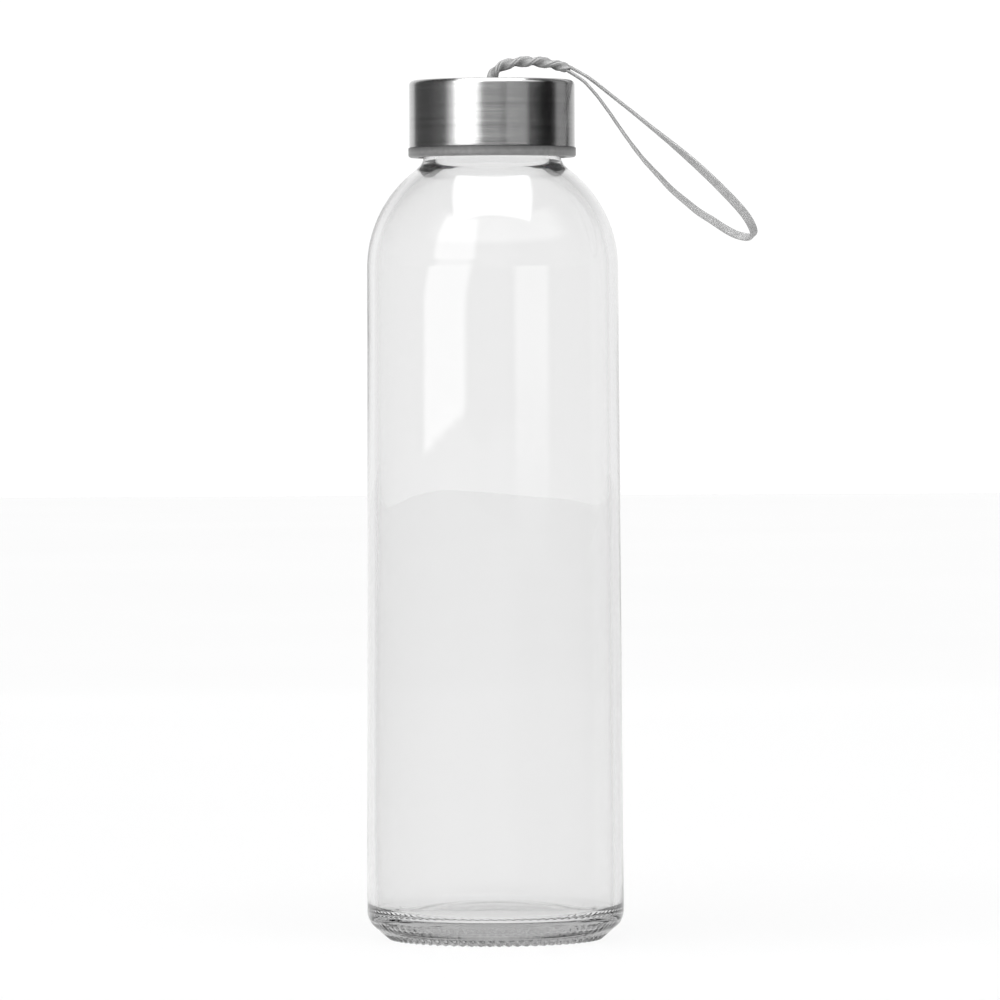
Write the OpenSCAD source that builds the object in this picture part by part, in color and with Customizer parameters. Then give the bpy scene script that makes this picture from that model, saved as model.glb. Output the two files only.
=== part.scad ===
// Glass water bottle with a domed shoulder, a two-piece steel and plastic screw cap
// and a flat braided cord loop that is knotted inside the cap.
// The origin is on the axis, in the plane that the bottle stands on.

/* [Bottle] */
// Height from the standing surface to the top of the cap
overall_h = 220; // [180:1:260]
// Diameter of the body just above the heel
heel_d = 65.9; // [64.4:0.1:70]
// Diameter of the body where the shoulder starts
shoulder_d = 64.4; // [62:0.1:65.9]
// Thickness of the glass in the body
glass_t = 2.5; // [2:0.1:3.2]
// Depth of the hollow under the base
punt_h = 4.5; // [2.5:0.1:5]

/* [Neck] */
// Diameter of the neck below the thread
neck_d = 34.8; // [34:0.1:35]
// Diameter of the mouth
mouth_d = 29; // [26:0.1:29.5]
// Diameter over the thread on the glass
thread_d = 37.3; // [36.8:0.1:37.4]
// Rise of the thread in one turn
thread_pitch = 4.23; // [4.1:0.01:4.4]
// Turns of thread on the glass
thread_turns = 1.5; // [1:0.05:1.55]

/* [Cap] */
// Diameter of the steel shell
shell_d = 42.4; // [42.3:0.1:43]
// Height of the steel shell
shell_h = 17.3; // [16.5:0.1:17.6]
// Thickness of the steel
steel_t = 0.5; // [0.4:0.05:0.5]
// Height of the plastic collar below the steel
collar_h = 2.4; // [2:0.1:2.6]
// Diameter of the hole for the cord
cord_hole_d = 4.4; // [4:0.1:5.2]

/* [Cord] */
// Width of the flat braided cord
cord_w = 2.3; // [1.8:0.1:2.5]
// Thickness of the flat braided cord
cord_t = 0.9; // [0.6:0.1:1]

/* [Hidden] */
$fn = 128;

// Thicknesses of the liner's plate and the seal, and the height left for the knot under the steel
plate_t = 1.3;
seal_t = 1.5;
knot_room = 4.5;

// Heights, each worked out from the top of the cap down
shoulder_drop = 48;
shell_z = overall_h - shell_h;
collar_z = shell_z - collar_h;
ceiling_z = overall_h - steel_t;
plate_z = ceiling_z - knot_room - plate_t;
rim_z = plate_z - seal_t;
shoulder_z = overall_h - shoulder_drop;

// Outer shape of the glass
heel_r = heel_d / 2;
shoulder_r = shoulder_d / 2;
neck_r = neck_d / 2;
mouth_r = mouth_d / 2;
heel_w = 5.75;
heel_z = 4.9;
heel_round = 5;
foot_r = heel_r - heel_w;
foot_w = 2;
dome_x = 0.6;
dome_r = shoulder_r - dome_x;
neck_round = 5;
rim_round = 0.9;

// Inner shape of the glass
floor_z = 9.6;
floor_rise = 4.2;
floor_round = 3.2;
mouth_round = 4.5;

// How far a cut runs past the surface that it opens
over = 1;

// Both threads: how deep the root sits in its wall, and how the ends fade into it
bury = 0.4;
sink = 0.1;
thread_fade = 40;
thread_step = 10;
least_share = 0.1;
end_share = 0.4;

// Thread on the glass, as [radius, height] corners of its section
thread_drop = 2.5;
thread_top_z = rim_z - thread_drop;
thread_start_z = thread_top_z - thread_turns * thread_pitch;
thread_r = thread_d / 2;
thread_half = 1.6;
crest_half = 0.3;
crest_cut = [0.3, 0.5];
glass_thread = [
    [neck_r - bury, -thread_half],
    [thread_r - crest_cut[0], -crest_half - crest_cut[1]],
    [thread_r, -crest_half],
    [thread_r, crest_half],
    [thread_r - crest_cut[0], crest_half + crest_cut[1]],
    [neck_r - bury, thread_half]];

// Cap
shell_r = shell_d / 2;
shell_round = 1.2;
collar_r = shell_r + 0.25;
collar_round = 0.7;
thread_gap = 0.35;
liner_gap = 0.1;
wall_r = thread_r + thread_gap;
liner_r = shell_r - steel_t - liner_gap;
crush_ribs = 24;
crush_root = 0.3;
crush_bite = 0.05;
crush_w = 0.8;
crush_h = 9;
crush_z = shell_z + 1;
top_ribs = 8;
rib_t = 1;
rib_z = plate_z + plate_t / 2;
pocket_r = 5.2;

// Seal, and the bead that keeps it in the liner
seal_gap = 0.3;
seal_lip = 0.7;
seal_r = wall_r - seal_gap;
seal_hole_r = mouth_r - seal_lip;
bead_w = 0.6;
bead_h = 0.5;
bead_z = rim_z - 0.1;

// The liner's thread lies under the glass thread, and is this much lower than it at the same angle
liner_drop = 1.85;
liner_from = 60;
liner_to = 480;
liner_root_half = 1.3;
liner_crest_half = 0.45;
liner_crest_r = neck_r + 0.4;
liner_thread = [
    [wall_r + bury, liner_root_half],
    [liner_crest_r, liner_crest_half],
    [liner_crest_r, -liner_crest_half],
    [wall_r + bury, -liner_root_half]];

// Cord knot, in the space between the liner's plate and the steel
knot_h = 4.1;
knot_r = 3.9;
knot_z = plate_z + plate_t + (knot_room - knot_h) / 2;

// Route of the two twisted ends, out of the hole and over the edge of the cap: [x, height above the cap]
stem_r = 1.4;
stem_route = [[0, -0.7], [0.1, 0.5], [0.5, 1.7], [1.4, 2.8], [3, 3.8], [5.5, 4.5], [9, 4.8],
    [12, 4.7], [15, 4.2], [18.5, 3.3], [21, 2.3]];

// Route of the loop: [x, y, height above the cap, lean]. The tape's width lies along y where the lean
// is 0, and its flat side faces y where the lean is 90.
loop_route = [
    [20.6, 0, 3.05, 0], [23.5, 0, 1.4, 0], [26, -0.1, -0.3, 5], [31, -0.4, -4.3, 5],
    [36, -0.8, -8.3, 8], [41, -1.3, -12.4, 14], [46, -1.8, -16.5, 28], [51, -2.4, -20.8, 48],
    [55.5, -3, -25, 62], [59, -3.4, -28.5, 72], [62.5, -3.6, -32.2, 80], [64.8, -3.5, -35, 85],
    [66.2, -2.9, -37.3, 88], [66.9, -1.4, -39.2, 88], [66.7, 0.6, -40.1, 88], [65.4, 2.3, -40.4, 86],
    [62.8, 3.3, -39.8, 82], [60, 3.6, -38.4, 76], [56.5, 3.5, -36.1, 66], [53, 3.2, -33.9, 54],
    [50, 2.9, -31.5, 44], [46, 2.4, -28.1, 34], [42.5, 2, -24.4, 26], [39, 1.6, -20.6, 18],
    [36, 1.2, -16.8, 12], [33, 0.9, -12.6, 8], [30, 0.6, -8.2, 6], [27.2, 0.3, -4.4, 4],
    [24.8, 0.1, -1.6, 2], [23, 0, 0.1, 0], [20.3, 0, 1.75, 0]];

// Point where a line from p towards q has run for a length t
function along(p, q, t) = p + t * (q - p) / norm(q - p);

// Height of a circle of radius r above its own centre, at a distance x to the side of the centre
function rise(r, x) = sqrt(r * r - x * x);

// What rounding the corner p, between the straight lines to a and b, adds inside or takes off outside
module corner(p, a, b, r) {
    u = (a - p) / norm(a - p);
    v = (b - p) / norm(b - p);
    half = acos(u * v) / 2;
    centre = along(p, p + u + v, r / sin(half));
    difference() {
        polygon([p - (centre - p) / 2, p + u * r / tan(half), centre, p + v * r / tan(half)]);
        translate(centre) circle(r);
    }
}

// Outline of the solid glass, with no hollow: right half, from the axis out
module glass_outline() {
    foot = [foot_r, 0];
    heel = [heel_r, heel_z];
    shoulder = [shoulder_r, shoulder_z];
    difference() {
        polygon([[0, 0], foot, heel, shoulder, [0, shoulder_z]]);
        corner(heel, foot, shoulder, heel_round);
    }
    intersection() {
        translate([dome_x, shoulder_z]) circle(dome_r);
        translate([0, shoulder_z - over]) square([shoulder_r, dome_r + over]);
    }
    difference() {
        translate([0, shoulder_z]) square([neck_r, rim_z - shoulder_z]);
        corner([neck_r, rim_z], [0, rim_z], [neck_r, shoulder_z], rim_round);
    }
    neck_fillet();
}

// Fillet where the dome meets the neck
module neck_fillet() {
    x = neck_r + neck_round - dome_x;
    far = dome_r + neck_round;
    centre = [neck_r + neck_round, shoulder_z + rise(far, x)];
    touch = along([dome_x, shoulder_z], centre, dome_r);
    difference() {
        polygon([[neck_r, centre[1]], [neck_r - over, touch[1] - over], touch, centre]);
        translate(centre) circle(neck_round);
    }
}

// Outline of the space inside the glass
module cavity_outline() {
    heel_in = heel_r - glass_t;
    dome_in = dome_r - glass_t;
    edge_z = floor_z - floor_rise;
    floor_r = (heel_in * heel_in + floor_rise * floor_rise) / (2 * floor_rise);
    floor_x = heel_in - floor_round;
    bend = [floor_x, floor_z - floor_r + rise(floor_r + floor_round, floor_x)];
    touch = along([0, floor_z - floor_r], bend, floor_r);
    difference() {
        polygon([[0, edge_z], [heel_in, edge_z], [shoulder_r - glass_t, shoulder_z], [0, shoulder_z]]);
        translate([0, floor_z - floor_r]) circle(floor_r, $fn = 512);
        difference() {
            polygon([[heel_in + over, bend[1]], [heel_in + over, edge_z - over], [touch[0], edge_z - over],
                touch, bend]);
            translate(bend) circle(floor_round);
        }
    }
    intersection() {
        translate([dome_x, shoulder_z]) circle(dome_in);
        translate([0, shoulder_z - over]) square([shoulder_r, dome_in + over]);
    }
    translate([0, shoulder_z]) square([mouth_r, rim_z + over - shoulder_z]);
    corner([mouth_r, rim_z], [neck_r, rim_z], [mouth_r, shoulder_z], rim_round);
    mouth_fillet(dome_in);
}

// Rounding of the glass where the dome's inside meets the mouth
module mouth_fillet(dome_in) {
    x = mouth_r + mouth_round - dome_x;
    centre = [mouth_r + mouth_round, shoulder_z + rise(dome_in + mouth_round, x)];
    touch = along([dome_x, shoulder_z], centre, dome_in);
    difference() {
        polygon([[mouth_r, centre[1]], [mouth_r - over, touch[1] - over], touch, centre]);
        translate(centre) circle(mouth_round);
    }
}

// Hollow under the base, a shallow dish inside the ring that the bottle stands on
module punt() {
    edge = foot_r - foot_w;
    r = (edge * edge + punt_h * punt_h) / (2 * punt_h);
    translate([0, 0, punt_h - r]) rotate_extrude() intersection() {
        circle(r, $fn = 512);
        translate([0, r - punt_h - over]) square([foot_r, punt_h + 2 * over]);
    }
}

// Screw thread of the given section from one angle to another. Its height is z where the angle is 0,
// and both ends fade to a depth behind the root.
module thread(section, z, from, to, depth) {
    n = len(section);
    steps = round((to - from) / thread_step);
    angles = [for (i = [0:steps]) from + (to - from) * i / steps];
    function share(a) = max(least_share, min(1, (a - from) / thread_fade, (to - a) / thread_fade));
    function corner_at(a, p) = let (
        keep = share(a),
        root = section[0][0],
        r = root + (p[0] - root) * keep + depth * (1 - keep),
        h = p[1] * (end_share + (1 - end_share) * keep))
        [r * cos(a), r * sin(a), z + thread_pitch * a / 360 + h];
    points = [for (a = angles) for (p = section) corner_at(a, p)];
    sides = [for (i = [0:steps - 1]) for (j = [0:n - 1]) let (k = (j + 1) % n)
        each [[i * n + j, i * n + k, (i + 1) * n + k], [i * n + j, (i + 1) * n + k, (i + 1) * n + j]]];
    first = [for (j = [n - 1:-1:0]) j];
    last = [for (j = [0:n - 1]) steps * n + j];
    polyhedron(points, concat(sides, [first, last]));
}

// Glass bottle
module bottle() {
    color([0.85, 0.92, 0.92, 0.5]) {
        difference() {
            rotate_extrude() difference() {
                glass_outline();
                cavity_outline();
            }
            punt();
        }
        thread(glass_thread, thread_start_z, 0, 360 * thread_turns, -sink);
    }
}

// Drawn steel cup with a hole for the cord
module cap_shell() {
    color("silver") rotate_extrude() difference() {
        square([shell_r, overall_h]);
        corner([shell_r, overall_h], [0, overall_h], [shell_r, 0], shell_round);
        translate([-over, -over]) square([shell_r + 2 * over, shell_z + over]);
        difference() {
            translate([-over, 0]) square([shell_r - steel_t + over, ceiling_z]);
            corner([shell_r - steel_t, ceiling_z], [0, ceiling_z], [shell_r - steel_t, 0],
                shell_round - steel_t);
        }
        translate([-over, 0]) square([cord_hole_d / 2 + over, overall_h + over]);
    }
}

// Plastic liner: collar, threaded wall, plate over the mouth, and ribs that hold the steel
module cap_insert() {
    color("dimgray") {
        rotate_extrude() {
            difference() {
                translate([wall_r, collar_z]) square([collar_r - wall_r, collar_h]);
                corner([collar_r, collar_z], [0, collar_z], [collar_r, overall_h], collar_round);
            }
            translate([wall_r, collar_z]) square([liner_r - wall_r, plate_z + plate_t - collar_z]);
            translate([0, plate_z]) square([liner_r, plate_t]);
            translate([wall_r, bead_z]) polygon([[sink, 0], [-bead_w, 0], [sink, -bead_h]]);
        }
        thread(liner_thread, thread_start_z - liner_drop, liner_from, liner_to, sink);
        for (i = [0:top_ribs - 1]) rotate(360 * i / top_ribs)
            translate([pocket_r, -rib_t / 2, rib_z])
                cube([shell_r - steel_t - shell_round - pocket_r, rib_t, ceiling_z - rib_z]);
        translate([0, 0, rib_z]) difference() {
            cylinder(r = pocket_r + rib_t, h = ceiling_z - rib_z);
            translate([0, 0, -over]) cylinder(r = pocket_r, h = ceiling_z - rib_z + 2 * over);
        }
        for (i = [0:crush_ribs - 1]) rotate(360 * (i + 0.5) / crush_ribs)
            translate([liner_r - crush_root, -crush_w / 2, crush_z])
                cube([crush_root + liner_gap + crush_bite, crush_w, crush_h]);
    }
}

// Silicone ring on the rim of the glass
module seal() {
    color("gainsboro") translate([0, 0, rim_z]) difference() {
        cylinder(r = seal_r, h = seal_t);
        translate([0, 0, -over]) cylinder(r = seal_hole_r, h = seal_t + 2 * over);
    }
}

// Closed tube through rings of points that all have the same number of corners
module sweep(rings) {
    n = len(rings[0]);
    last = len(rings) - 1;
    sides = [for (i = [0:last - 1]) for (j = [0:n - 1]) let (k = (j + 1) % n)
        each [[i * n + j, i * n + k, (i + 1) * n + k], [i * n + j, (i + 1) * n + k, (i + 1) * n + j]]];
    polyhedron([for (ring = rings) each ring],
        concat(sides, [[for (j = [n - 1:-1:0]) j], [for (j = [0:n - 1]) last * n + j]]));
}

// Direction of a route at its point i
function heading(route, i) = let (
    a = route[max(i - 1, 0)],
    b = route[min(i + 1, len(route) - 1)])
    (b - a) / norm(b - a);

// Ring of 8 corners round p, across the direction d, w wide along side and t thick
function ring(p, d, side, w, t) = let (
    half = 22.5,
    flat = side - (side * d) * d,
    u = flat / norm(flat),
    v = cross(d, u))
    [for (a = [half:2 * half:360]) p + (u * w * cos(a) + v * t * sin(a)) / 2 / cos(half)];

// The twisted ends of the cord, as one round tube
module cord_stem() {
    route = [for (p = stem_route) [p[0], 0, p[1] + overall_h]];
    ends = len(route) - 1;
    color("darkgray") sweep([for (i = [0:ends])
        ring(route[i], i == 0 ? [0, 0, 1] : heading(route, i), [0, 1, 0], 2 * stem_r, 2 * stem_r)]);
}

// The loop, as one flat tube from the twist, round its tip and back
module cord_loop() {
    route = [for (p = loop_route) [p[0], p[1], p[2] + overall_h]];
    color("darkgray") sweep([for (i = [0:len(route) - 1]) let (lean = loop_route[i][3])
        ring(route[i], heading(route, i), [sin(lean), cos(lean) * sqrt(2), sin(lean)], cord_w, cord_t)]);
}

// Stopper knot inside the cap
module cord_knot() {
    color("darkgray") translate([0, 0, knot_z + knot_h / 2]) rotate_extrude() {
        translate([knot_r - knot_h / 2, 0]) intersection() {
            circle(knot_h / 2);
            translate([0, -knot_h]) square(2 * knot_h);
        }
        translate([0, -knot_h / 2]) square([knot_r - knot_h / 2, knot_h]);
    }
}

bottle();
cap_shell();
cap_insert();
seal();
cord_stem();
cord_loop();
cord_knot();
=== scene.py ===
"""Looks of a glass water bottle with a brushed steel screw cap and a loop of flat braided cord.

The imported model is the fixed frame. Shapes are worked out in millimetres and made in metres.
"""
import math

import bpy
import numpy as np
from mathutils import Matrix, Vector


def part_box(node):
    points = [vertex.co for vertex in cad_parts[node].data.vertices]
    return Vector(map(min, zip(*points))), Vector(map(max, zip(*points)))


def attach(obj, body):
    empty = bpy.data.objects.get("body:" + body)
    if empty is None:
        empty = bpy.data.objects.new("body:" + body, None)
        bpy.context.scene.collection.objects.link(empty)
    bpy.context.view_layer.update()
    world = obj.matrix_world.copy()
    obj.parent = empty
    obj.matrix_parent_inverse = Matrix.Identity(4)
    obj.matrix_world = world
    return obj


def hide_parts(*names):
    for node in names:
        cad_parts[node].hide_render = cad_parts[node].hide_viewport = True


MM = 0.001

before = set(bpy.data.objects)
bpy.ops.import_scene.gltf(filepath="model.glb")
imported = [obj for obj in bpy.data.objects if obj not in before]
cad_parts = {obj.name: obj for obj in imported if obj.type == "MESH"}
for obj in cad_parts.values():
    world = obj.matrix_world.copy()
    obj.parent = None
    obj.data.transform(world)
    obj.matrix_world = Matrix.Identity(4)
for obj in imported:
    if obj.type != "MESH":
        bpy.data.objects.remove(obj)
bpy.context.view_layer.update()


# ---------------------------------------------------------------- sizes, in mm

def corners(node):
    """Lowest and highest corner of a CAD node, in mm."""
    low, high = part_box(node)
    return np.array(low) / MM, np.array(high) / MM


BOTTLE_HIGH = corners("bottle")[1]
SHELL_LOW, SHELL_HIGH = corners("cap_shell")
KNOT_LOW, KNOT_HIGH = corners("cord_knot")

TOP_Z = SHELL_HIGH[2]
SHELL_Z = SHELL_LOW[2]
SHELL_R = SHELL_HIGH[0]
RIM_Z = BOTTLE_HIGH[2]

# Outer shape of the glass
SHOULDER_R = 32.2
SHOULDER_DROP = 48.0
SHOULDER_Z = TOP_Z - SHOULDER_DROP
HEEL_R = 32.95
HEEL_W = 5.75
HEEL_Z = 4.9
HEEL_ROUND = 5.0
FOOT_R = HEEL_R - HEEL_W
FOOT_W = 2.0
FOOT_ROUND = 0.35
PUNT_H = 4.5
DOME_X = 0.6
DOME_R = SHOULDER_R - DOME_X
NECK_R = 17.4
NECK_ROUND = 5.0
RIM_ROUND = 0.9

# Inner shape of the glass
GLASS_T = 2.5
FLOOR_Z = 9.6
FLOOR_RISE = 4.2
FLOOR_ROUND = 3.2
MOUTH_R = 14.5
MOUTH_ROUND = 4.5

# Slight waviness of the inside of the body, fading out towards the floor and the shoulder
WAVE_DEPTH = 0.05
WAVE_LOW = FLOOR_Z + 8
WAVE_HIGH = SHOULDER_Z + 20
WAVE_FADE = 20.0

# Thread on the glass
THREAD_R = 18.65
THREAD_PITCH = 4.23
THREAD_TURNS = 1.5
THREAD_DROP = 2.5
THREAD_START_Z = RIM_Z - THREAD_DROP - THREAD_TURNS * THREAD_PITCH
THREAD_FADE = 40.0
THREAD_CREST = 0.45
THREAD_HALF = 1.6

# Knurling on the foot: crescents below, and a row of fine ribs above them
KNURLS = 72
KNURL_DEPTH = 0.55
KNURL_R = FOOT_R - 0.6
KNURL_REACH = 2.6
KNURL_BEND = 0.3
KNURL_MARGIN = 0.06
KNURL_FADE = 0.2
RIBS = 96
RIB_DEPTH = 0.16
RIB_R = 31.0
RIB_REACH = 1.3
RIB_FADE = 0.4

# Steel shell
STEEL_T = 0.5
SHELL_ROUND = 1.2
HOLE_R = 2.2

# Points round the turned shapes
GLASS_SEGMENTS = KNURLS * 8
SHELL_SEGMENTS = 256

# Flat braided cord. A yarn's size and the core's are shares of the cord's width and thickness
CORD_W = 2.3
CORD_T = 0.9
CORD_YARNS = 9
YARN_W = 0.13
YARN_T = 0.27
YARN_SQUARE = 0.6
EDGE_TURN = np.pi / 2 * 0.93
CORE_W = 0.9
CORE_T = 0.62
BRAID_PITCH = 4.6

# The two twisted ends: how wide they grow, where that stops, and the painted shade in the groove
# between them
TWIST_PITCH = 9.4
TWIST_OFFSET = 0.56
STEM_EXTRA = 0.45
STEM_END = 20.0
STEM_FADE = 6.0
GROOVE_SHADE_R = 0.65
GROOVE_SHADE_FADE = 0.6

# Stopper knot
KNOT_SIZE = 0.94
KNOT_LIFT = 1.05
KNOT_W = 1.9
KNOT_T = 1.5
KNOT_POINTS = 200

# Steps between the points of a route, before and after the cord's parts are joined
ROUTE_STEP = 0.6
PATH_STEP = 0.1

# Route of the two twisted ends: [x, height above the cap]
STEM_ROUTE = [[0, -0.7], [0.1, 0.5], [0.5, 1.7], [1.4, 2.8], [3, 3.8], [5.5, 4.5], [9, 4.8],
    [12, 4.7], [15, 4.2], [18.5, 3.3], [21, 2.3]]

# Route of the loop: [x, y, height above the cap, lean]. The lean is in degrees: the tape's width
# lies along y at 0 and at -180, and its flat side faces y at -90, so it makes half a turn.
LOOP_ROUTE = [
    [20.6, 0, 3.05, 0], [23.5, 0, 1.4, 0], [26, -0.1, -0.3, -5], [31, -0.4, -4.3, -5],
    [36, -0.8, -8.3, -8], [41, -1.3, -12.4, -14], [46, -1.8, -16.5, -28], [51, -2.4, -20.8, -48],
    [55.5, -3, -25, -62], [59, -3.4, -28.5, -72], [62.5, -3.6, -32.2, -80], [64.8, -3.5, -35, -85],
    [66.2, -2.9, -37.3, -90], [66.9, -1.4, -39.2, -92], [66.7, 0.6, -40.1, -95],
    [65.4, 2.3, -40.4, -101], [62.8, 3.3, -39.8, -107], [60, 3.6, -38.4, -113],
    [56.5, 3.5, -36.1, -121], [53, 3.2, -33.9, -129], [50, 2.9, -31.5, -137],
    [46, 2.4, -28.1, -146], [42.5, 2, -24.4, -154], [39, 1.6, -20.6, -162],
    [36, 1.2, -16.8, -168], [33, 0.9, -12.6, -172], [30, 0.6, -8.2, -174],
    [27.2, 0.3, -4.4, -176], [24.8, 0.1, -1.6, -178], [23, 0, 0.1, -180], [20.3, 0, 1.75, -180]]


# ---------------------------------------------------------------- helpers

def smooth(x):
    """0 below 0, 1 above 1, and a soft step between."""
    x = np.clip(x, 0.0, 1.0)
    return x * x * (3 - 2 * x)


def window(x, low, high, soft):
    """1 between low and high, falling softly to 0 outside."""
    return smooth((x - low) / soft + 0.5) * smooth((high - x) / soft + 0.5)


def unit(v):
    """Vectors along the last axis, made one long."""
    return v / np.linalg.norm(v, axis=-1, keepdims=True)


def add_object(name, points_mm, faces, flat=False):
    """A mesh object from points in mm, smooth-shaded unless flat."""
    mesh = bpy.data.meshes.new(name)
    mesh.from_pydata((np.asarray(points_mm) * MM).tolist(), [], faces)
    mesh.validate()
    if not flat:
        mesh.shade_smooth()
    obj = bpy.data.objects.new(name, mesh)
    bpy.context.scene.collection.objects.link(obj)
    return obj


# ---------------------------------------------------------------- camera

CAMERA_PLACE = (1.6, -1858.0, 149.0)
CAMERA_TILT = -1.124
CAMERA_ROLL = -0.27
CAMERA_LENS = 261.0


def add_camera():
    data = bpy.data.cameras.new("camera")
    data.lens = CAMERA_LENS
    data.sensor_width = 36.0
    data.clip_start = 0.05
    data.clip_end = 50.0
    camera = bpy.data.objects.new("camera", data)
    turn = Matrix.Rotation(math.radians(90 + CAMERA_TILT), 4, "X")
    roll = Matrix.Rotation(math.radians(CAMERA_ROLL), 4, "Z")
    camera.matrix_world = Matrix.Translation([c * MM for c in CAMERA_PLACE]) @ turn @ roll
    bpy.context.scene.collection.objects.link(camera)
    bpy.context.scene.camera = camera


add_camera()


# ---------------------------------------------------------------- cord

def spline(points, step):
    """Points every step along a smooth curve through the given ones."""
    p = np.asarray(points, float)
    p = np.vstack([2 * p[0] - p[1], p, 2 * p[-1] - p[-2]])
    fine = []
    for a, b, c, d in zip(p, p[1:], p[2:], p[3:]):
        for t in np.linspace(0, 1, 16, endpoint=False):
            fine.append(0.5 * (2 * b + (c - a) * t + (2 * a - 5 * b + 4 * c - d) * t ** 2
                + (3 * b - a - 3 * c + d) * t ** 3))
    fine = np.array(fine + [p[-2]])
    run = np.concatenate([[0], np.cumsum(np.linalg.norm(np.diff(fine[:, :3], axis=0), axis=1))])
    at = np.linspace(0, run[-1], max(2, int(round(run[-1] / step)) + 1))
    return np.stack([np.interp(at, run, fine[:, k]) for k in range(fine.shape[1])], axis=1)


def stem_route():
    """The line that the two twisted ends follow."""
    return spline([[x, 0, z + TOP_Z] for x, z in STEM_ROUTE], ROUTE_STEP)


def twisted_end(side):
    """Points and width directions of one of the two ends that twist round each other.

    It starts in the knot and ends where the loop opens, with the tape's width along y.
    """
    route = stem_route()[:-2]
    heading = unit(np.gradient(route, axis=0))
    across = np.array([0.0, 1.0, 0.0])
    up = np.cross(heading, across)
    left = np.linspace(len(route) - 1, 0, len(route)) * ROUTE_STEP
    angle = -2 * np.pi * left / TWIST_PITCH
    out = np.cos(angle)[:, None] * up + np.sin(angle)[:, None] * across
    width = np.cross(out, heading)
    return route + side * TWIST_OFFSET * out, width


def cord_path():
    """The cord's centreline from end to end, with the direction of the tape's width."""
    a, a_width = twisted_end(1)
    b, b_width = twisted_end(-1)
    loop = np.array(LOOP_ROUTE, float)
    loop[:, 2] += TOP_Z
    lean = np.radians(loop[:, 3])
    width = unit(np.stack([np.sin(lean), np.cos(lean) * math.sqrt(2), np.sin(lean)], axis=1))
    a_width = a_width * np.sign(np.dot(a_width[-1], width[0]))
    b_width = b_width * np.sign(np.dot(b_width[-1], width[-1]))
    points = np.vstack([a, loop[1:-1, :3], b[::-1]])
    widths = np.vstack([a_width, width[1:-1], b_width[::-1]])
    path = spline(np.hstack([points, widths]), PATH_STEP)
    return path[:, :3], unit(path[:, 3:])


def yarn_lift(turn, count):
    """Height of a yarn in a flat braid, from -1 to 1: over one yarn and under the next."""
    place = (turn % 1.0) * 2 * count
    nearest = np.abs((place + count / 2) % count - count / 2)
    return np.where(nearest < 0.5, 0.0, np.sin(np.pi * (place % count - 0.5)))


def braid(name, points, widths, width, thickness, count, pitch, sides=6):
    """A flat braid on a flat core: each yarn runs from edge to edge and back.

    width is one number, or one for each point. The core is made last, as one more yarn that
    stays in the middle.
    """
    width = np.broadcast_to(width, len(points))
    heading = unit(np.gradient(points, axis=0))
    across = unit(widths - np.sum(widths * heading, axis=1, keepdims=True) * heading)
    up = np.cross(heading, across)
    run = np.concatenate([[0], np.cumsum(np.linalg.norm(np.diff(points, axis=0), axis=1))])
    vertices, faces, uvs = [], [], []
    angles = 2 * np.pi * np.arange(sides) / sides
    section_x = np.sign(np.cos(angles)) * np.abs(np.cos(angles)) ** YARN_SQUARE
    section_y = np.sin(angles)
    for k in range(count + 1):
        turn = run / pitch + k / count
        swing = np.abs(((turn * 2) % 2.0) - 1.0) * 2 - 1.0
        edge = np.sin(EDGE_TURN * swing) / math.sin(EDGE_TURN)
        thick = thickness * YARN_T
        wide = width * YARN_W
        reach = (width / 2 - wide)[:, None]
        lift = yarn_lift(turn + 0.5, count) * (thickness / 2 - thick)
        if k == count:
            edge, lift = 0 * edge, 0 * lift
            thick, wide = thickness * CORE_T / 2, width * CORE_W / 2
        middle = points - across * edge[:, None] * reach + up * lift[:, None]
        along = unit(np.gradient(middle, axis=0))
        side = unit(np.cross(up, along))
        top = np.cross(along, side)
        first = len(vertices) * len(points) * sides
        ring = (middle[:, None] + side[:, None] * (wide[:, None] * section_x)[:, :, None]
            + top[:, None] * (thick * section_y)[None, :, None])
        vertices.append(ring.reshape(-1, 3))
        for i in range(len(points) - 1):
            for j in range(sides):
                n = (j + 1) % sides
                faces.append((first + i * sides + j, first + i * sides + n,
                    first + (i + 1) * sides + n, first + (i + 1) * sides + j))
                uvs.append(((run[i], j), (run[i], j + 1), (run[i + 1], j + 1), (run[i + 1], j)))
        for i, order in ((0, -1), (len(points) - 1, 1)):
            end = [first + i * sides + j for j in range(sides)][::order]
            faces.append(tuple(end))
            uvs.append(((run[i], 0),) * sides)
    obj = add_object(name, np.vstack(vertices), faces)
    layer = obj.data.uv_layers.new(name="yarn")
    layer.data.foreach_set("uv", [v for corner in uvs for pair in corner
        for v in (pair[0], pair[1] / sides)])
    # Painted shade: a grey for each point that darkens the yarns towards the groove between the two
    # twisted ends
    shade = obj.data.color_attributes.new("groove", "FLOAT_COLOR", "POINT")
    grey = np.repeat(painted_groove_shade(np.vstack(vertices))[:, None], 4, axis=1)
    shade.data.foreach_set("color", grey.ravel())
    return obj


def painted_groove_shade(points):
    """Painted shade in the cord's colour: 1 on the outside of the cord, and 0 deep in the groove
    between its two twisted ends.
    """
    route = stem_route()
    shade = np.ones(len(points))
    stem = np.flatnonzero((points[:, 0] < STEM_END) & (points[:, 2] > TOP_Z - 1))
    away = np.linalg.norm(points[stem, None] - route[None], axis=2).min(axis=1)
    shade[stem] = smooth((away - GROOVE_SHADE_R) / GROOVE_SHADE_FADE)
    return shade


def knot_path():
    """Centreline of the overhand knot, in the space between the liner and the steel."""
    t = np.linspace(0, 2 * np.pi, KNOT_POINTS)
    middle = (KNOT_LOW + KNOT_HIGH) / 2
    points = np.stack([KNOT_SIZE * (np.sin(t) + 2 * np.sin(2 * t)),
        KNOT_SIZE * (np.cos(t) - 2 * np.cos(2 * t)), -KNOT_LIFT * np.sin(3 * t)], axis=1) + middle
    out = unit((points - middle) * [1, 1, 0.01])
    return points, out


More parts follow.
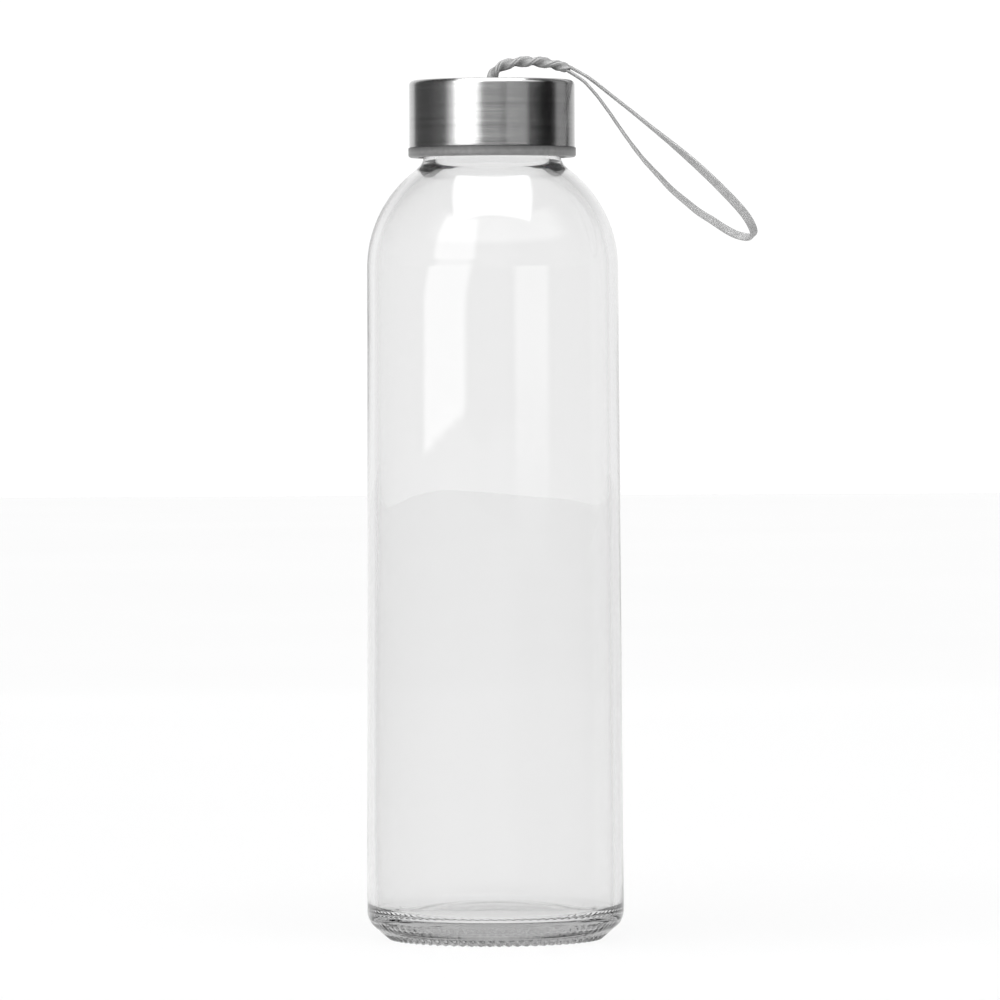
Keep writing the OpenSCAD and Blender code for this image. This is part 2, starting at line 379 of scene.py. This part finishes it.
cord_points, cord_widths = cord_path()
cord_width = CORD_W + STEM_EXTRA * smooth((STEM_END - cord_points[:, 0]) / STEM_FADE)
cord = braid("braided_cord", cord_points, cord_widths, cord_width, CORD_T, CORD_YARNS, BRAID_PITCH)
knot = braid("stopper_knot", *knot_path(), KNOT_W, KNOT_T, CORD_YARNS, BRAID_PITCH)
for piece in (cord, knot):
    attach(piece, "loop")
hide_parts("cord_stem", "cord_loop")
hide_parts("cord_knot")


# ---------------------------------------------------------------- turned shapes

def arc(centre, radius, start, end, steps):
    """Points on a circle from one angle to another, in degrees."""
    angles = np.radians(np.linspace(start, end, steps + 1))
    return [(centre[0] + radius * math.cos(a), centre[1] + radius * math.sin(a)) for a in angles]


def line(p, q, steps):
    """Points on a straight line, both ends included."""
    return [tuple(np.add(p, np.subtract(q, p) * t)) for t in np.linspace(0, 1, steps + 1)]


def angle_of(p, q):
    """Angle of the direction from p to q, in degrees."""
    return math.degrees(math.atan2(q[1] - p[1], q[0] - p[0]))


def rounded(p, a, b, radius, steps):
    """Arc that rounds the corner p between the lines to a and b, from a's side to b's."""
    p, a, b = (np.array(q, float) for q in (p, a, b))
    u, v = unit(a - p), unit(b - p)
    half = math.acos(float(u @ v)) / 2
    centre = p + unit(u + v) * radius / math.sin(half)
    start = angle_of(centre, p + u * radius / math.tan(half))
    end = angle_of(centre, p + v * radius / math.tan(half))
    turn = (end - start + 180) % 360 - 180
    return arc(centre, radius, start, start + turn, steps)


def lathe(name, profile, segments, relief=None, closed=False):
    """Turns a profile of (r, z) points round the axis. relief(r, z, angle) gives each point's change.

    An open profile starts and ends on the axis; a closed one joins its last point to its first.
    """
    profile = np.array(profile, float)
    angles = 2 * np.pi * np.arange(segments) / segments
    radius = np.repeat(profile[:, :1], segments, axis=1)
    height = np.repeat(profile[:, 1:], segments, axis=1)
    if relief:
        d_radius, d_height = relief(radius, height, angles[None, :])
        radius, height = radius + d_radius, height + d_height
    points = np.stack([radius * np.cos(angles), radius * np.sin(angles), height], axis=-1)
    rows = len(profile)
    faces = []

    def index(i, j):
        return (i % rows) * segments + j % segments

    for i in range(rows if closed else rows - 1):
        for j in range(segments):
            if not closed and i == 0:
                faces.append((index(0, 0), index(1, j + 1), index(1, j)))
            elif not closed and i == rows - 2:
                faces.append((index(i, j), index(i, j + 1), index(rows - 1, 0)))
            else:
                faces.append((index(i, j), index(i, j + 1), index(i + 1, j + 1), index(i + 1, j)))
    points = points.reshape(-1, 3)
    if not closed:
        keep = np.r_[0, segments:(rows - 1) * segments + 1]
        new_index = np.full(rows * segments, -1)
        new_index[keep] = np.arange(len(keep))
        faces = [tuple(int(new_index[v]) for v in face) for face in faces]
        points = points[keep]
    return add_object(name, points, faces)


# ---------------------------------------------------------------- glass bottle

def outer_profile():
    """From the middle of the hollow base, round the foot and up to the rim."""
    edge = FOOT_R - FOOT_W
    punt_r = (edge ** 2 + PUNT_H ** 2) / (2 * PUNT_H)
    punt = (0, PUNT_H - punt_r)
    foot_in, foot_out = (edge, 0), (FOOT_R, 0)
    heel, shoulder = (HEEL_R, HEEL_Z), (SHOULDER_R, SHOULDER_Z)
    fillet_x = NECK_R + NECK_ROUND
    far = DOME_R + NECK_ROUND
    fillet = (fillet_x, SHOULDER_Z + math.sqrt(far ** 2 - (fillet_x - DOME_X) ** 2))
    dome = (DOME_X, SHOULDER_Z)
    to_neck = angle_of(dome, fillet)
    edge_angle = math.degrees(math.asin((edge - 0.5) / punt_r))
    heel_arc = rounded(heel, foot_out, shoulder, HEEL_ROUND, 14)
    rim = rounded((NECK_R, RIM_Z), (NECK_R, 0), (0, RIM_Z), RIM_ROUND, 8)
    points = arc(punt, punt_r, 90, 90 - edge_angle, 24)
    points += rounded(foot_in, points[-1], foot_out, FOOT_ROUND, 4)
    points += rounded(foot_out, foot_in, heel, FOOT_ROUND, 4)
    points += line(points[-1], heel_arc[0], 24)[1:-1]
    points += heel_arc
    points += line(heel_arc[-1], shoulder, 24)[1:-1]
    points += arc(dome, DOME_R, 0, to_neck, 36)
    points += arc(fillet, NECK_ROUND, to_neck + 180, 180, 8)[1:]
    points += line(points[-1], rim[0], 60)[1:-1]
    return points + rim


def inner_profile():
    """From the rim down the mouth to the middle of the inner floor."""
    heel_in = HEEL_R - GLASS_T
    dome_in = DOME_R - GLASS_T
    dome = (DOME_X, SHOULDER_Z)
    rim = rounded((MOUTH_R, RIM_Z), (NECK_R, RIM_Z), (MOUTH_R, 0), RIM_ROUND, 8)
    fillet_x = MOUTH_R + MOUTH_ROUND
    far = dome_in + MOUTH_ROUND
    fillet = (fillet_x, SHOULDER_Z + math.sqrt(far ** 2 - (fillet_x - DOME_X) ** 2))
    to_mouth = angle_of(dome, fillet)
    floor_r = (heel_in ** 2 + FLOOR_RISE ** 2) / (2 * FLOOR_RISE)
    floor = (0, FLOOR_Z - floor_r)
    bend_x = heel_in - FLOOR_ROUND
    bend = (bend_x, floor[1] + math.sqrt((floor_r + FLOOR_ROUND) ** 2 - bend_x ** 2))
    to_floor = angle_of(floor, bend)
    points = rim + line(rim[-1], (MOUTH_R, fillet[1]), 12)[1:-1]
    points += arc(fillet, MOUTH_ROUND, 180, 180 + to_mouth, 8)
    points += arc(dome, dome_in, to_mouth, 0, 36)[1:]
    points += line((SHOULDER_R - GLASS_T, SHOULDER_Z), (heel_in, bend[1]), 40)[1:-1]
    points += arc(bend, FLOOR_ROUND, 360, to_floor + 180, 14)
    return points + arc(floor, floor_r, to_floor, 90, 24)[1:]


def thread_relief(height, angle):
    """How far the screw thread stands out from the neck."""
    out = np.zeros(np.broadcast(height, angle).shape)
    for turn in range(math.ceil(THREAD_TURNS)):
        along = np.degrees(angle) + 360 * turn
        share = smooth(np.minimum(along, 360 * THREAD_TURNS - along) / THREAD_FADE)
        middle = THREAD_START_Z + THREAD_PITCH * along / 360
        away = np.abs(height - middle)
        flank = smooth((THREAD_HALF - away) / (THREAD_HALF - THREAD_CREST))
        out = np.maximum(out, share * flank * (THREAD_R - NECK_R))
    return out


def knurl_relief(radius, angle):
    """Depth in mm of the grooves on the foot: between the crescents, and between the ribs."""
    reach = np.clip((radius - KNURL_R) / KNURL_REACH, 0, 1)
    across = (angle * KNURLS / (2 * np.pi) + KNURL_BEND * (2 * reach - 1) ** 2) % 1.0 - 0.5
    crescents = 0.5 - 0.5 * np.cos(2 * np.pi * across)
    crescents = crescents * window(reach, KNURL_MARGIN, 1 - KNURL_MARGIN, KNURL_FADE)
    ribs = 0.5 - 0.5 * np.cos(angle * RIBS)
    ribs = ribs * window(radius, RIB_R, RIB_R + RIB_REACH, RIB_FADE)
    return KNURL_DEPTH * crescents + RIB_DEPTH * ribs


def glass_relief(radius, height, angle):
    """Changes of radius and height that make the thread, the knurling and the uneven inside."""
    outer = np.arange(len(radius))[:, None] < OUTER_ROWS
    neck = outer & (height > THREAD_START_Z - THREAD_HALF) & (radius > NECK_R - 0.01)
    d_radius = np.where(neck, thread_relief(height, angle), 0.0)
    chamfer = outer & (radius > FOOT_R - FOOT_W) & (height < HEEL_Z)
    cut = np.where(chamfer, knurl_relief(radius, angle), 0.0)
    lean = math.atan2(HEEL_Z, HEEL_R - FOOT_R)
    d_radius = d_radius - cut * math.sin(lean)
    d_height = cut * math.cos(lean)
    body = window(height, WAVE_LOW, WAVE_HIGH, WAVE_FADE)
    wave = (np.sin(2 * angle + height / 31 + 0.7) + 0.6 * np.sin(3 * angle - height / 47)
        + 0.5 * np.sin(5 * angle + height / 19 + 2.0))
    d_radius = d_radius + np.where(outer, 0.0, WAVE_DEPTH * wave * body)
    return d_radius, d_height


OUTER = outer_profile()
OUTER_ROWS = len(OUTER)
glass = lathe("glass_bottle", OUTER + inner_profile(), GLASS_SEGMENTS, glass_relief)
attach(glass, "bottle")
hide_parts("bottle")


# ---------------------------------------------------------------- steel shell

def shell_profile():
    """Drawn cup: a rolled lower edge, a rounded shoulder and a hole with a turned-in edge."""
    inner_r = SHELL_R - STEEL_T
    inner_z = TOP_Z - STEEL_T
    hem = STEEL_T / 2
    outside = rounded((SHELL_R, TOP_Z), (SHELL_R, 0), (0, TOP_Z), SHELL_ROUND, 14)
    inside = rounded((inner_r, inner_z), (0, inner_z), (inner_r, 0), SHELL_ROUND - STEEL_T, 8)
    points = arc((SHELL_R - hem, SHELL_Z + hem), hem, 180, 360, 8)
    points += line(points[-1], outside[0], 24)[1:-1] + outside
    points += line(outside[-1], (HOLE_R + hem, TOP_Z), 24)[1:-1]
    points += arc((HOLE_R + hem, TOP_Z - hem), hem, 90, 270, 8)
    points += line((HOLE_R + hem, inner_z), inside[0], 8)[1:-1] + inside
    return points + line(inside[-1], (inner_r, SHELL_Z + hem), 8)[1:-1]


shell = lathe("steel_shell", shell_profile(), SHELL_SEGMENTS, closed=True)
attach(shell, "cap")
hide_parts("cap_shell")


# ---------------------------------------------------------------- materials

def material(name, **sockets):
    """A material with a Principled shader whose sockets are set to plain values."""
    mat = bpy.data.materials.new(name)
    mat.use_nodes = True
    shader = mat.node_tree.nodes["Principled BSDF"]
    for key, value in sockets.items():
        shader.inputs[key.replace("_", " ")].default_value = value
    return mat, mat.node_tree, shader


def node(tree, kind, links=None, **values):
    """A new node. values sets its properties or sockets, and links joins sockets to it."""
    made = tree.nodes.new(kind)
    for key, value in values.items():
        if hasattr(made, key):
            setattr(made, key, value)
        else:
            made.inputs[key.replace("_", " ")].default_value = value
    for key, source in (links or {}).items():
        tree.links.new(source, made.inputs[key])
    return made


def ramp(tree, source, stops):
    """A colour ramp of greys, from (place, grey) stops."""
    made = node(tree, "ShaderNodeValToRGB", {"Fac": source})
    elements = made.color_ramp.elements
    for i, (place, grey) in enumerate(stops):
        element = elements[i] if i < 2 else elements.new(place)
        element.position = place
        element.color = (grey, grey, grey, 1)
    return made.outputs["Color"]


def stretched(tree, scale):
    """The object's own coordinates in metres, scaled differently along each axis."""
    place = node(tree, "ShaderNodeTexCoord").outputs["Object"]
    return node(tree, "ShaderNodeMapping", {"Vector": place}, Scale=scale).outputs["Vector"]


def give(obj, mat):
    """Makes mat the object's only material."""
    obj.data.materials.clear()
    obj.data.materials.append(mat)


def clear_glass():
    mat, tree, shader = material("clear_glass", Base_Color=(0.952, 0.952, 0.952, 1), Roughness=0.0,
        IOR=1.5, Transmission_Weight=1.0)
    grey = node(tree, "ShaderNodeVolumeAbsorption", Color=(0.5, 0.5, 0.5, 1), Density=24.0)
    tree.links.new(grey.outputs[0], tree.nodes["Material Output"].inputs["Volume"])
    waves = node(tree, "ShaderNodeTexNoise", {"Vector": stretched(tree, (40, 40, 14))}, Scale=1.0,
        Detail=1.0)
    bump = node(tree, "ShaderNodeBump", {"Height": waves.outputs[0]}, Strength=0.25, Distance=0.0004)
    tree.links.new(bump.outputs["Normal"], shader.inputs["Normal"])
    return mat


def brushed_steel():
    mat, tree, shader = material("brushed_steel", Metallic=1.0, Anisotropic=0.75,
        Anisotropic_Rotation=0.25)
    place = node(tree, "ShaderNodeTexCoord").outputs["Object"]
    split = node(tree, "ShaderNodeSeparateXYZ", {"Vector": place})
    flat = node(tree, "ShaderNodeCombineXYZ", {"X": split.outputs["X"], "Y": split.outputs["Y"]})
    radius = node(tree, "ShaderNodeVectorMath", {"Vector": flat.outputs[0]}, operation="LENGTH")
    along = node(tree, "ShaderNodeMath", {0: split.outputs["Z"], 1: radius.outputs["Value"]},
        operation="SUBTRACT")
    brushed = node(tree, "ShaderNodeCombineXYZ", {"X": split.outputs["X"], "Y": split.outputs["Y"],
        "Z": along.outputs[0]})
    lines = []
    for scale in ((40, 40, 3200), (15, 15, 1100)):
        vector = node(tree, "ShaderNodeMapping", {"Vector": brushed.outputs[0]}, Scale=scale)
        noise = node(tree, "ShaderNodeTexNoise", {"Vector": vector.outputs[0]}, Scale=1.0, Detail=3.0)
        lines.append(noise.outputs[0])
    mixed = node(tree, "ShaderNodeMath", {0: lines[0], 1: lines[1]}, operation="ADD")
    half = node(tree, "ShaderNodeMath", {0: mixed.outputs[0]}, operation="MULTIPLY")
    half.inputs[1].default_value = 0.5
    tint = ramp(tree, half.outputs[0], [(0.36, 0.53), (0.64, 0.63)])
    rough = ramp(tree, half.outputs[0], [(0.36, 0.22), (0.64, 0.27)])
    bump = node(tree, "ShaderNodeBump", {"Height": half.outputs[0]}, Strength=0.35, Distance=0.00002)
    turned = node(tree, "ShaderNodeTangent", direction_type="RADIAL", axis="Z")
    tree.links.new(tint, shader.inputs["Base Color"])
    tree.links.new(rough, shader.inputs["Roughness"])
    tree.links.new(bump.outputs["Normal"], shader.inputs["Normal"])
    tree.links.new(turned.outputs["Tangent"], shader.inputs["Tangent"])
    return mat


def grey_plastic():
    mat, tree, shader = material("grey_plastic", Specular_IOR_Level=0.5)
    grain = node(tree, "ShaderNodeTexNoise", {"Vector": stretched(tree, (900, 900, 900))}, Scale=1.0,
        Detail=3.0)
    place = node(tree, "ShaderNodeTexCoord").outputs["Object"]
    split = node(tree, "ShaderNodeSeparateXYZ", {"Vector": place})
    # Painted shade: the colour darkens to half towards the top, just under the steel shell's lower
    # edge
    below = node(tree, "ShaderNodeMapRange", {"Value": split.outputs["Z"]},
        From_Min=(SHELL_Z - 1.2) * MM, From_Max=(SHELL_Z - 0.1) * MM)
    grey = ramp(tree, grain.outputs[0], [(0.3, 0.22), (0.7, 0.27)])
    shade = ramp(tree, below.outputs[0], [(0, 1.0), (1, 0.5)])
    colour = node(tree, "ShaderNodeVectorMath", {0: grey, 1: shade}, operation="MULTIPLY")
    tree.links.new(colour.outputs[0], shader.inputs["Base Color"])
    tree.links.new(ramp(tree, grain.outputs[0], [(0.3, 0.34), (0.7, 0.44)]),
        shader.inputs["Roughness"])
    bump = node(tree, "ShaderNodeBump", {"Height": grain.outputs[0]}, Strength=0.2, Distance=0.00004)
    tree.links.new(bump.outputs["Normal"], shader.inputs["Normal"])
    return mat


def silicone():
    mat, tree, shader = material("silicone", Roughness=0.55, Subsurface_Weight=0.3,
        Subsurface_Scale=0.002)
    clouds = node(tree, "ShaderNodeTexNoise", {"Vector": stretched(tree, (300, 300, 300))}, Scale=1.0,
        Detail=2.0)
    tree.links.new(ramp(tree, clouds.outputs[0], [(0.3, 0.66), (0.7, 0.74)]),
        shader.inputs["Base Color"])
    bump = node(tree, "ShaderNodeBump", {"Height": clouds.outputs[0]}, Strength=0.15, Distance=0.0001)
    tree.links.new(bump.outputs["Normal"], shader.inputs["Normal"])
    return mat


def nylon():
    mat, tree, shader = material("braided_cord", Roughness=0.2, Sheen_Weight=0.1,
        Sheen_Roughness=0.4, Specular_IOR_Level=1.0)
    uv = node(tree, "ShaderNodeUVMap", uv_map="yarn").outputs["UV"]
    vector = node(tree, "ShaderNodeMapping", {"Vector": uv}, Scale=(0.5, 9, 1))
    fibres = node(tree, "ShaderNodeTexNoise", {"Vector": vector.outputs[0]}, Scale=1.0, Detail=2.0)
    # Painted shade: the base colour darkens deep in the groove between the twisted ends
    groove = node(tree, "ShaderNodeVertexColor", layer_name="groove").outputs["Color"]
    shade = ramp(tree, groove, [(0, 0.12), (0.6, 0.75), (1, 1.0)])
    grey = ramp(tree, fibres.outputs[0], [(0.3, 0.42), (0.7, 0.54)])
    colour = node(tree, "ShaderNodeVectorMath", {0: shade, 1: grey}, operation="MULTIPLY")
    tree.links.new(colour.outputs[0], shader.inputs["Base Color"])
    bump = node(tree, "ShaderNodeBump", {"Height": fibres.outputs[0]}, Strength=0.4,
        Distance=0.00003)
    tree.links.new(bump.outputs["Normal"], shader.inputs["Normal"])
    return mat


give(glass, clear_glass())
give(shell, brushed_steel())
give(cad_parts["cap_insert"], grey_plastic())
give(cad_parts["seal"], silicone())
nylon_mat = nylon()
give(cord, nylon_mat)
give(knot, nylon_mat)


# ---------------------------------------------------------------- studio

STUDIO_R = 1400.0
STUDIO_MIDDLE = 200.0
LEFT_BOX = 2.9
LEFT_BOX_LESS_AT_CAP = 1.1
RIGHT_BOX = 2.0
CEILING_BOX = 4.5
CEILING_GLOW = 1.7
# Brightness round the studio as the cap mirrors it: (azimuth from the camera's side, brightness)
STUDIO_LEVELS = [(-180, 1.1), (-140, 0.72), (-133, 0.12), (-115, 0.08), (-95, 0.09), (-64, 0.2),
    (-50, 0.32), (-20, 0.32), (-6, 0.28), (2, 0.35), (10, 0.32), (17, 0.17), (22, 0.08), (27, 0.02),
    (34, 0), (45, 0), (52, 0.02), (58, 0.06), (66, 0.03), (75, 0), (90, 0), (98, 0.04),
    (102, 0.36), (120, 0.36), (124, 0.32), (127, 0.04), (131, 0.04), (136, 0.45), (180, 1.1)]


def studio_level(azimuth, height, elevation):
    """Brightness of the studio's walls in a direction: angles in degrees, height in mm."""
    places, levels = zip(*STUDIO_LEVELS)
    level = np.interp(azimuth, places, levels) * (1 - 0.5 * smooth((elevation - 20) / 30))
    cap = window(height, 235, 350, 50)
    low = smooth((48 - elevation) / 8)
    lean = smooth((height - 180) / 60)
    left = window(azimuth, -65 + 10 * lean + 4 * cap, -25 + 9 * lean - 4 * cap, 7)
    left = left * smooth((height - 130 - (azimuth + 36) * 0.5) / 6 + 0.5)
    left = left * low * (LEFT_BOX - LEFT_BOX_LESS_AT_CAP * cap)
    right = window(azimuth, 20, 51, 7) * smooth((height - 50) / 130) * smooth((225 - height) / 8)
    run = np.tan(np.radians(90 - np.maximum(elevation, 1)))
    side, front = run * np.sin(np.radians(azimuth)), run * np.cos(np.radians(azimuth))
    reach = 0.49 + 0.36 * front
    top = window(side, -reach, reach, 0.06) * window(front, -0.25, 0.9, 0.06) * (elevation > 20)
    glow = window(elevation, 22, 47, 8) * window(azimuth, -60, 75, 30)
    return level + left + RIGHT_BOX * right + CEILING_BOX * top + CEILING_GLOW * glow


def add_studio():
    """Soft boxes and dark cards round the object, which only its gloss can see."""
    azimuths = np.arange(-180, 180, 1.5)
    heights = np.concatenate([np.linspace(-1390, -60, 30), np.linspace(-50, 330, 77),
        np.linspace(345, 1599.96, 64)])
    z = heights - STUDIO_MIDDLE
    ring = np.sqrt(np.maximum(STUDIO_R ** 2 - z ** 2, 100.0))
    turn = np.radians(azimuths)
    points = np.stack([ring[:, None] * np.sin(turn), -ring[:, None] * np.cos(turn),
        np.repeat(heights[:, None], len(turn), axis=1)], axis=-1)
    level = studio_level(azimuths[None, :], heights[:, None],
        np.degrees(np.arctan2(z, ring))[:, None])
    count = len(azimuths)
    faces = [(i * count + j, (i + 1) * count + j, (i + 1) * count + (j + 1) % count,
        i * count + (j + 1) % count) for i in range(len(heights) - 1) for j in range(count)]
    walls = add_object("studio_walls", points.reshape(-1, 3), faces)
    colours = walls.data.color_attributes.new("level", "FLOAT_COLOR", "POINT")
    grey = np.repeat(level.reshape(-1, 1), 4, axis=1)
    colours.data.foreach_set("color", grey.ravel())
    mat = bpy.data.materials.new("studio_walls")
    mat.use_nodes = True
    tree = mat.node_tree
    tree.nodes.remove(tree.nodes["Principled BSDF"])
    colour = node(tree, "ShaderNodeVertexColor", layer_name="level")
    glow = node(tree, "ShaderNodeEmission", {"Color": colour.outputs["Color"]})
    tree.links.new(glow.outputs[0], tree.nodes["Material Output"].inputs["Surface"])
    mat.cycles.emission_sampling = "NONE"
    give(walls, mat)
    walls.visible_camera = False
    walls.visible_diffuse = False
    walls.visible_transmission = False
    walls.visible_shadow = False


def add_floor():
    """A wide pale floor."""
    side = 6000.0
    points = [(x, y, 0) for x in (-side, side) for y in (-side, side)]
    floor = add_object("floor", points, [(0, 2, 3, 1)], flat=True)
    mat, tree, shader = material("pale_floor", Roughness=0.9, Specular_IOR_Level=0.2)
    clouds = node(tree, "ShaderNodeTexNoise", {"Vector": stretched(tree, (2, 2, 2))}, Scale=1.0)
    tree.links.new(ramp(tree, clouds.outputs[0], [(0.2, 0.885), (0.8, 0.9)]),
        shader.inputs["Base Color"])
    give(floor, mat)
    floor.visible_glossy = False


def add_world():
    """White all round the horizon behind, softer in front and overhead."""
    world = bpy.data.worlds.new("world")
    world.use_nodes = True
    tree = world.node_tree
    place = node(tree, "ShaderNodeTexCoord").outputs["Generated"]
    split = node(tree, "ShaderNodeSeparateXYZ", {"Vector": place})
    height = ramp(tree, split.outputs["Z"], [(0.0, 1.0), (0.15, 1.0), (0.6, 0.55), (1.0, 0.5)])
    turned = node(tree, "ShaderNodeMapRange", {"Value": split.outputs["Y"]}, From_Min=-1.0,
        From_Max=0.6, To_Min=0.65, To_Max=1.0)
    level = node(tree, "ShaderNodeVectorMath", {0: height, 1: turned.outputs[0]},
        operation="MULTIPLY")
    tree.links.new(level.outputs[0], tree.nodes["Background"].inputs["Color"])
    tree.nodes["Background"].inputs["Strength"].default_value = 1.05
    bpy.context.scene.world = world


def add_sun(name, strength, softness, elevation, azimuth):
    """A soft lamp in a direction: azimuth 0 is the camera's side, and 90 is +x."""
    data = bpy.data.lights.new(name, "SUN")
    data.energy = strength
    data.angle = math.radians(softness)
    lamp = bpy.data.objects.new(name, data)
    lamp.rotation_euler = (math.radians(90 - elevation), 0, math.radians(azimuth))
    bpy.context.scene.collection.objects.link(lamp)
    lamp.visible_glossy = False
    lamp.visible_transmission = False


add_studio()
add_floor()
add_world()
add_sun("overhead_light", 1.9, 60, 68, -25)

scene = bpy.context.scene
scene.view_settings.view_transform = "Standard"
scene.cycles.max_bounces = 24
scene.cycles.transmission_bounces = 24
scene.cycles.glossy_bounces = 12
scene.cycles.caustics_refractive = False
scene.cycles.caustics_reflective = False
glass.visible_shadow = False
glass.visible_diffuse = False
